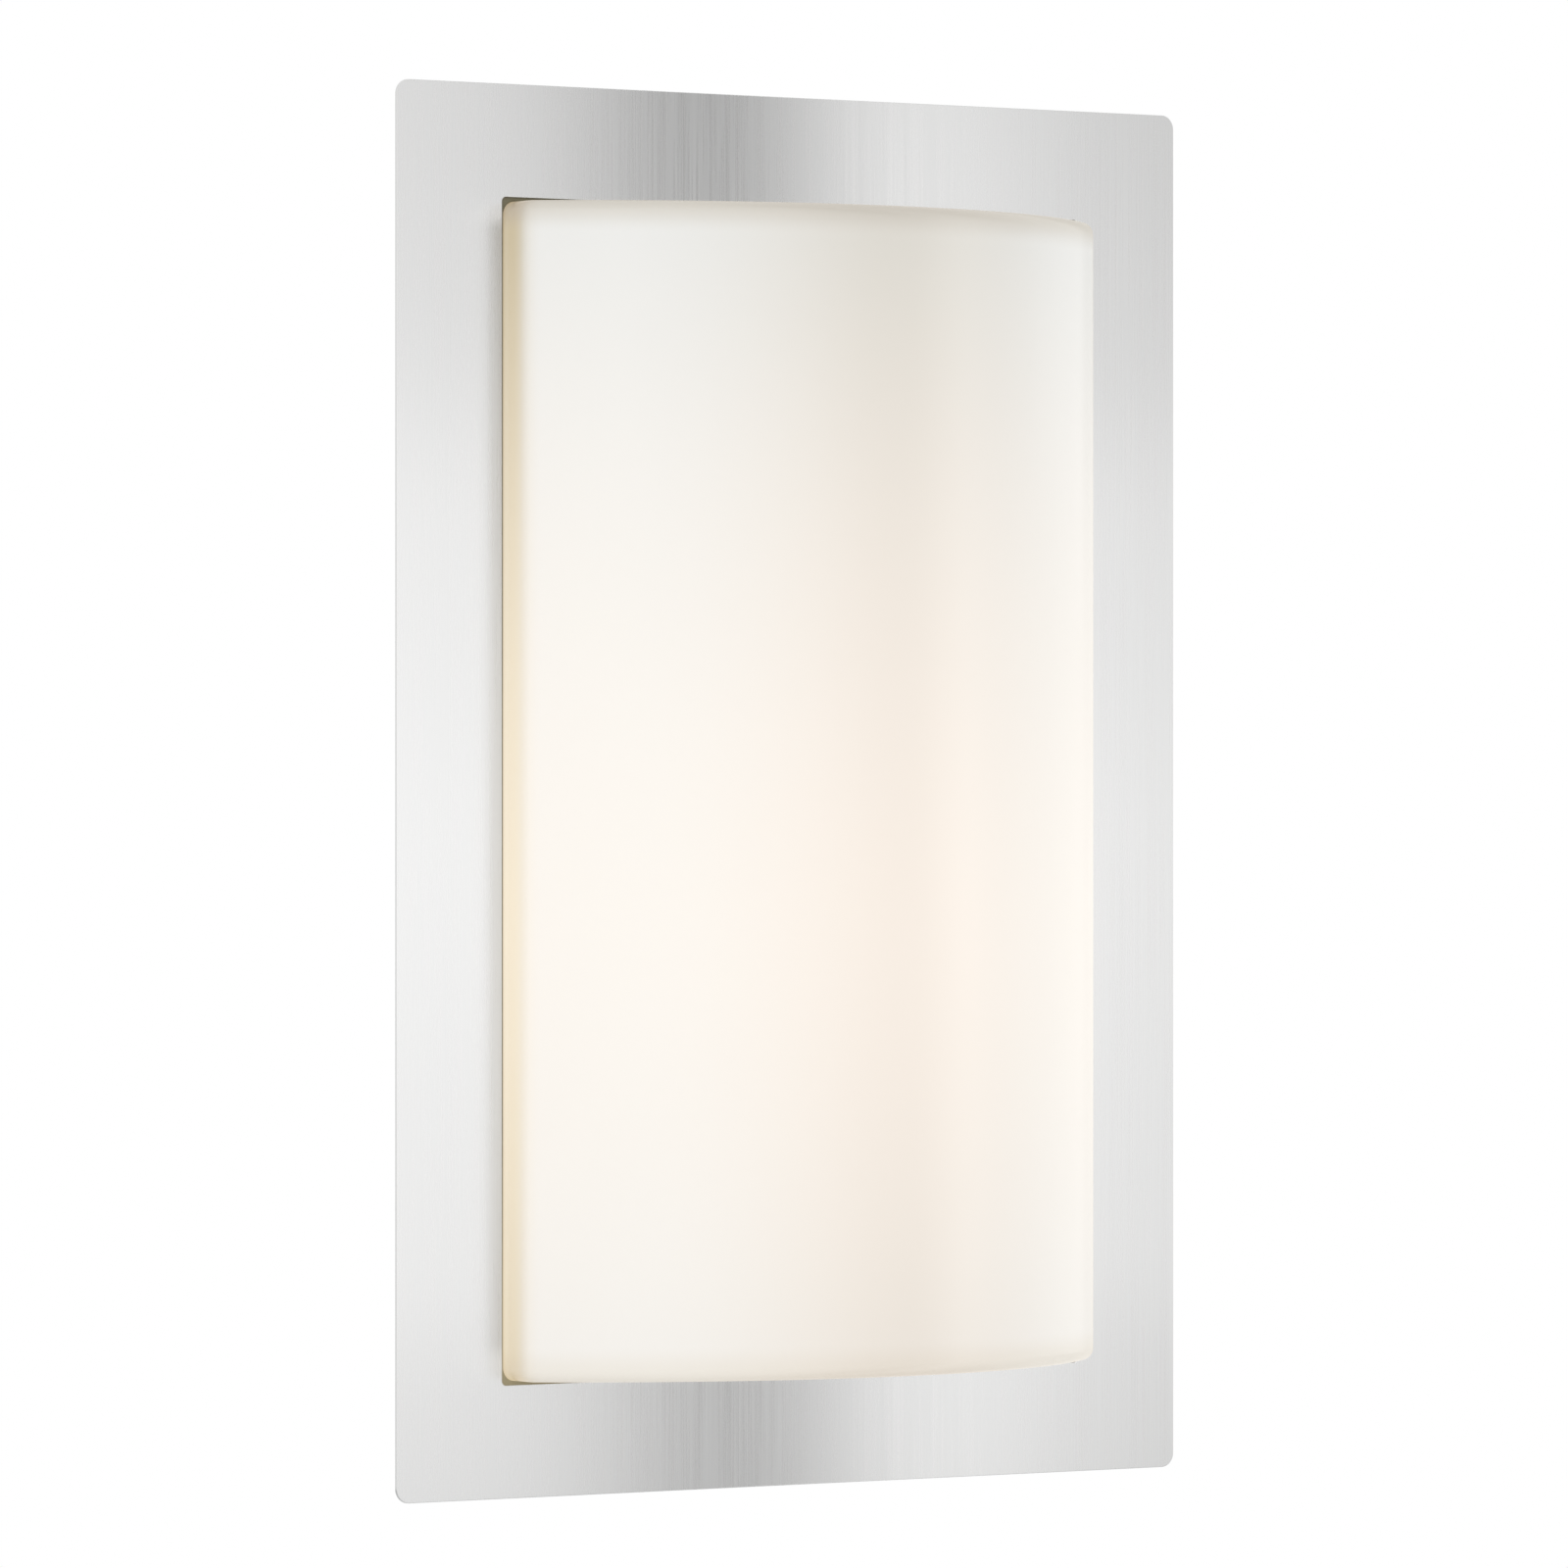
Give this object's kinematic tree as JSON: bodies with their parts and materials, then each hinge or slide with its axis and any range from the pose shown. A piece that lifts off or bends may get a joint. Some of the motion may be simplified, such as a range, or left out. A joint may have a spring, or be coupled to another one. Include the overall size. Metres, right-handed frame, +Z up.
{
  "type": "outdoor wall light",
  "caption": "Flat framed outdoor wall light: brushed steel face plate with a bowed opal glass shade, hinged on a shallow wall pan, screw lamp inside.",
  "frame": {"origin": "middle of the wall face: the plane that the light's back seal rests on", "axes": "+Z up the wall, +Y into the wall, the light faces -Y, +X to the viewer's right"},
  "size_m": [0.263, 0.0866, 0.38],
  "materials": {
    "brushed_stainless": "fine upright brushed grain",
    "plain_stainless": "plain, lightly rolled",
    "opal_glass": "glossy opal white, lit from inside",
    "dark_silicone": "matt",
    "black_rubber": "matt",
    "foam": "matt closed-cell foam",
    "white_paint": "white powder coat",
    "zinc_plate": "bright zinc plate",
    "porcelain": "white glaze",
    "shell_brass": "plain",
    "terminal_brass": "plain",
    "bulb_opal": "satin white, lit",
    "cap_metal": "bright",
    "cap_insulator": "black glass",
    "contact_metal": "tinned",
    "polyamide": "natural white",
    "wire_brown": "matt",
    "wire_blue": "matt",
    "wire_green_yellow": "matt green with a yellow stripe",
    "tinned_copper": "tinned"
  },
  "bodies": {
    "wall_side": {"wall_pan": "white_paint", "wall_gasket": "foam", "rim_seal": "black_rubber", "cable_grommet": "black_rubber", "hinge_brackets": "white_paint", "hinge_pins": "zinc_plate", "lock_block": "white_paint", "lampholder_body": "porcelain", "lampholder_shell": "shell_brass", "lampholder_contact": "contact_metal", "lampholder_bracket": "zinc_plate", "lampholder_screws": "zinc_plate", "bracket_screws": "zinc_plate", "block_screws": "zinc_plate", "terminal_block": "polyamide", "terminal_screws": "zinc_plate", "lampholder_terminals": "terminal_brass", "lead_screws": "zinc_plate", "live_lead": "wire_brown", "neutral_lead": "wire_blue", "earth_wire": "wire_green_yellow", "earth_stud": "terminal_brass", "earth_nuts": "terminal_brass", "earth_terminal": "tinned_copper"},
    "front_frame": {"face_plate": "brushed_stainless", "glass_shade": "opal_glass", "shade_gasket": "dark_silicone", "shade_clips": "plain_stainless", "clip_studs": "plain_stainless", "clip_nuts": "plain_stainless", "frame_hooks": "plain_stainless", "latch_lug": "plain_stainless"},
    "locking_washer": {"locking_washer": "plain_stainless"},
    "locking_screw": {"locking_screw": "plain_stainless"},
    "bulb": {"bulb_glass": "bulb_opal", "bulb_cap": "cap_metal", "bulb_insulator": "cap_insulator", "bulb_contact": "contact_metal"}
  },
  "joints": [
    {"name": "frame_swing", "type": "hinge", "parent": "wall_side", "child": "front_frame", "pos_m": [0, -0.0358, 0.182], "axis": [-1, 0, 0], "range_deg": [0, 45]},
    {"name": "washer_drop", "type": "slide", "parent": "wall_side", "child": "locking_washer", "axis": [0, 0, -1], "range_m": [0, 0.0028]},
    {"name": "screw_turn", "type": "hinge", "parent": "locking_washer", "child": "locking_screw", "pos_m": [0, -0.0265, -0.18], "axis": [0, 0, -1], "range_deg": [0, 1440]},
    {"name": "bulb_out", "type": "slide", "parent": "wall_side", "child": "bulb", "axis": [0, 0, -1], "range_m": [0, 0.027]}
  ],
  "couplings": [
    {"joint": "screw_turn", "follows": "washer_drop", "rad_per_m": 8976}
  ]
}
